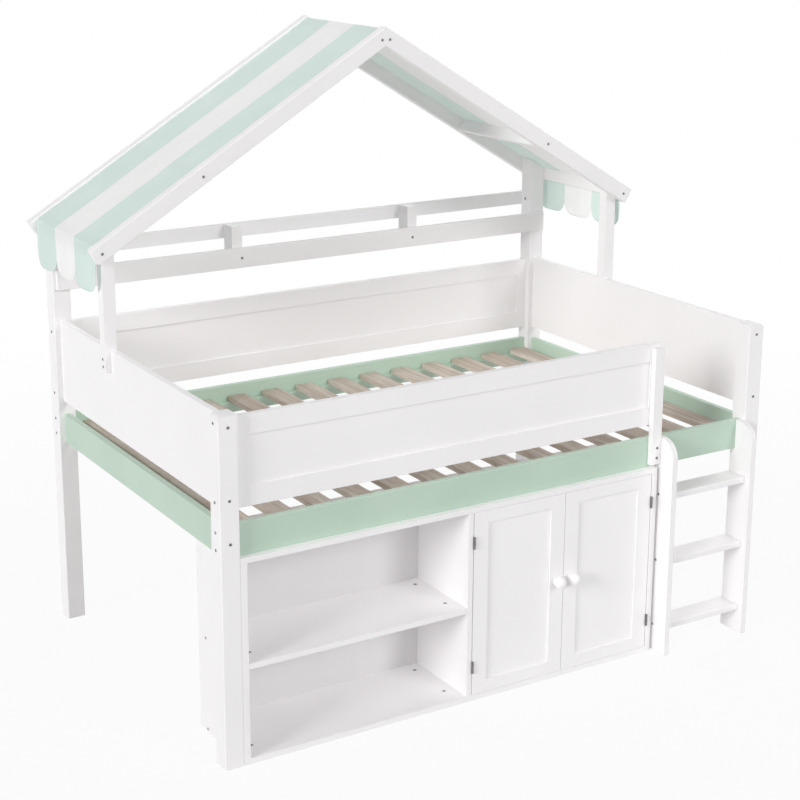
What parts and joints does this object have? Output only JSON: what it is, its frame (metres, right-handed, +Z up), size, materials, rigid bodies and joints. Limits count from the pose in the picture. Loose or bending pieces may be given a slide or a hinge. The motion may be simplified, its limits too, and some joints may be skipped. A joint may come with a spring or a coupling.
{
  "type": "loft bed",
  "caption": "Low loft bed with a house-shaped striped tent roof, slatted base, guard panels, short ladder and an under-bed unit with open shelves and a hinged-door cabinet.",
  "frame": {"origin": "centre of the bounding box's footprint, on the floor", "axes": "+X along the bed's length towards the ladder end, +Y from the ladder side to the back panel, +Z up"},
  "size_m": [2.176, 1.438, 2.1039],
  "materials": {
    "white_paint": "satin white paint",
    "mint_paint": "satin mint paint",
    "bare_slat_wood": "planed bare wood",
    "canopy_fabric": "woven cotton with wide stripes",
    "hinge_steel": "plain steel",
    "catch_plastic": "matt white plastic"
  },
  "bodies": {
    "frame": {"back_guard_lower_rail": "white_paint", "back_guard_spacers": "white_paint", "back_guard_upper_rail": "white_paint", "back_panel_infill": "white_paint", "back_panel_rails": "white_paint", "back_panel_stiles": "white_paint", "canopy": "canopy_fabric", "door_catch": "catch_plastic", "eave_battens": "white_paint", "end_panel_left": "white_paint", "end_panel_right": "white_paint", "front_guard_infill": "white_paint", "front_guard_rails": "white_paint", "front_guard_stiles": "white_paint", "guard_post": "white_paint", "hinge_frame_leaves": "hinge_steel", "hinge_pins": "hinge_steel", "ladder_stile_left": "white_paint", "ladder_stile_right": "white_paint", "ladder_tread_lower": "white_paint", "ladder_tread_middle": "white_paint", "ladder_tread_upper": "white_paint", "ledger_back": "mint_paint", "ledger_front": "mint_paint", "mid_battens": "white_paint", "post_back_left": "white_paint", "post_back_right": "white_paint", "post_front_left": "white_paint", "post_front_right": "white_paint", "rafter_back_left": "white_paint", "rafter_back_right": "white_paint", "rafter_front_left": "white_paint", "rafter_front_right": "white_paint", "rail_back": "mint_paint", "rail_front": "mint_paint", "rail_left": "mint_paint", "rail_right": "mint_paint", "ridge_beam": "white_paint", "roof_post_left": "white_paint", "roof_post_right": "white_paint", "slat_support_beam": "bare_slat_wood", "slats": "bare_slat_wood", "unit_back": "white_paint", "unit_cabinet_bottom": "white_paint", "unit_divider": "white_paint", "unit_shelf": "white_paint", "unit_shelf_bottom": "white_paint", "unit_side_left": "white_paint", "unit_side_right": "white_paint", "unit_top_board": "white_paint"},
    "door_left": {"door_left_hinge_leaves": "hinge_steel", "door_left_infill": "white_paint", "door_left_knob": "white_paint", "door_left_rails": "white_paint", "door_left_stiles": "white_paint"},
    "door_right": {"door_right_hinge_leaves": "hinge_steel", "door_right_infill": "white_paint", "door_right_knob": "white_paint", "door_right_rails": "white_paint", "door_right_stiles": "white_paint"}
  },
  "joints": [
    {"name": "door_left_hinge", "type": "hinge", "parent": "frame", "child": "door_left", "pos_m": [-0.1525, -0.6605, 0.3325], "axis": [0, 0, -1], "range_deg": [0, 165]},
    {"name": "door_right_hinge", "type": "hinge", "parent": "frame", "child": "door_right", "pos_m": [0.5695, -0.6605, 0.3325], "axis": [0, 0, 1], "range_deg": [0, 110]}
  ]
}
